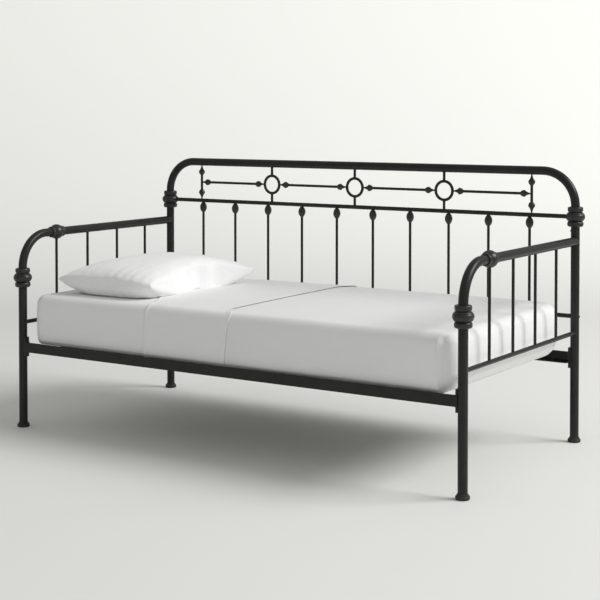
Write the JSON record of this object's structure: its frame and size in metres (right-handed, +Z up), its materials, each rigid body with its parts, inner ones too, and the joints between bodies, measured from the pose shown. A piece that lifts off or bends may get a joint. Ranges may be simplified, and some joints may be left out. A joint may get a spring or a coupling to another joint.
{
  "type": "daybed",
  "caption": "Metal daybed with an arched spindle back, curved arms, cast knuckles, a slatted deck, a mattress with bedding and a pillow.",
  "frame": {"origin": "on the floor, under the middle of the bed", "axes": "+X along the bed to its right end, +Y from the open front to the spindle back, +Z up"},
  "size_m": [2.054, 1.039, 1.066],
  "materials": {
    "frame_tube": "satin",
    "casting": "satin",
    "slat_steel": "satin",
    "fastener": "satin",
    "foot": "satin",
    "mattress_cover": "matte",
    "sheet": "matte",
    "coverlet": "matte",
    "pillowcase": "matte"
  },
  "bodies": {
    "root": {"back_post_left": "frame_tube", "back_post_right": "frame_tube", "top_arch": "frame_tube", "back_knuckle_left": "casting", "back_knuckle_right": "casting", "mid_rail": "frame_tube", "lower_back_rail": "frame_tube", "back_spindle_1": "frame_tube", "back_spindle_2": "frame_tube", "back_spindle_3": "frame_tube", "back_spindle_4": "frame_tube", "back_spindle_5": "frame_tube", "back_spindle_6": "frame_tube", "back_spindle_7": "frame_tube", "back_spindle_8": "frame_tube", "back_spindle_9": "frame_tube", "back_spindle_10": "frame_tube", "almond_castings": "casting", "ring_left": "frame_tube", "ring_middle": "frame_tube", "ring_right": "frame_tube", "ring_stubs": "frame_tube", "level_rod_1": "frame_tube", "level_rod_2": "frame_tube", "level_rod_3": "frame_tube", "level_rod_4": "frame_tube", "end_rod_left": "frame_tube", "end_rod_right": "frame_tube", "arrowheads": "casting", "front_leg_left": "frame_tube", "front_leg_right": "frame_tube", "front_knuckle_left": "casting", "front_knuckle_right": "casting", "arm_bend_left": "frame_tube", "arm_bend_right": "frame_tube", "arm_ball_left": "casting", "arm_ball_right": "casting", "arm_rail_left": "frame_tube", "arm_rail_right": "frame_tube", "lower_arm_rail_left": "frame_tube", "lower_arm_rail_right": "frame_tube", "arm_spindles_left": "frame_tube", "arm_spindles_right": "frame_tube", "side_rail_front": "frame_tube", "side_rail_back": "frame_tube", "rail_brackets": "frame_tube", "bracket_bolts": "fastener", "slats": "slat_steel", "slat_rivets": "fastener", "panel_bolts": "fastener", "post_screws": "fastener", "feet": "foot"},
    "mattress": {"mattress": "mattress_cover", "top_sheet": "sheet", "coverlet": "coverlet"},
    "pillow": {"pillow": "pillowcase"}
  },
  "joints": [
    {"name": "mattress_lift", "type": "slide", "parent": "root", "child": "mattress", "axis": [0, 0, 1], "range_m": [0, 0.22]},
    {"name": "pillow_lift", "type": "slide", "parent": "mattress", "child": "pillow", "axis": [0, 0, 1], "range_m": [0, 0.25]}
  ]
}
